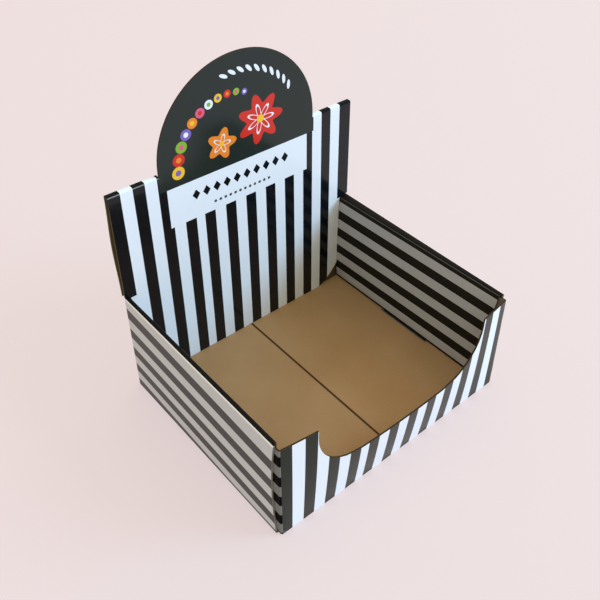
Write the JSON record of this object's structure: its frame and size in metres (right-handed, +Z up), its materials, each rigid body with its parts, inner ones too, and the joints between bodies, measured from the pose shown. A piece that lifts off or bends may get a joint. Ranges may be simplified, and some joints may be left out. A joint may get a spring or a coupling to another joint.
{
  "type": "display box",
  "caption": "Open countertop display tray folded from corrugated board, with rolled-over side walls, a scooped front wall and a doubled back panel carrying an arched header.",
  "frame": {"origin": "middle of the floor's underside, midway between the side walls and between the front fold and the back panel", "axes": "+X to the right seen from the front, +Y from the front wall to the back panel, +Z up"},
  "size_m": [0.23, 0.2016, 0.2668],
  "materials": {
    "board": "white coated and printed outside, brown kraft inside"
  },
  "bodies": {
    "root": {"display_tray": "board"}
  },
  "joints": []
}
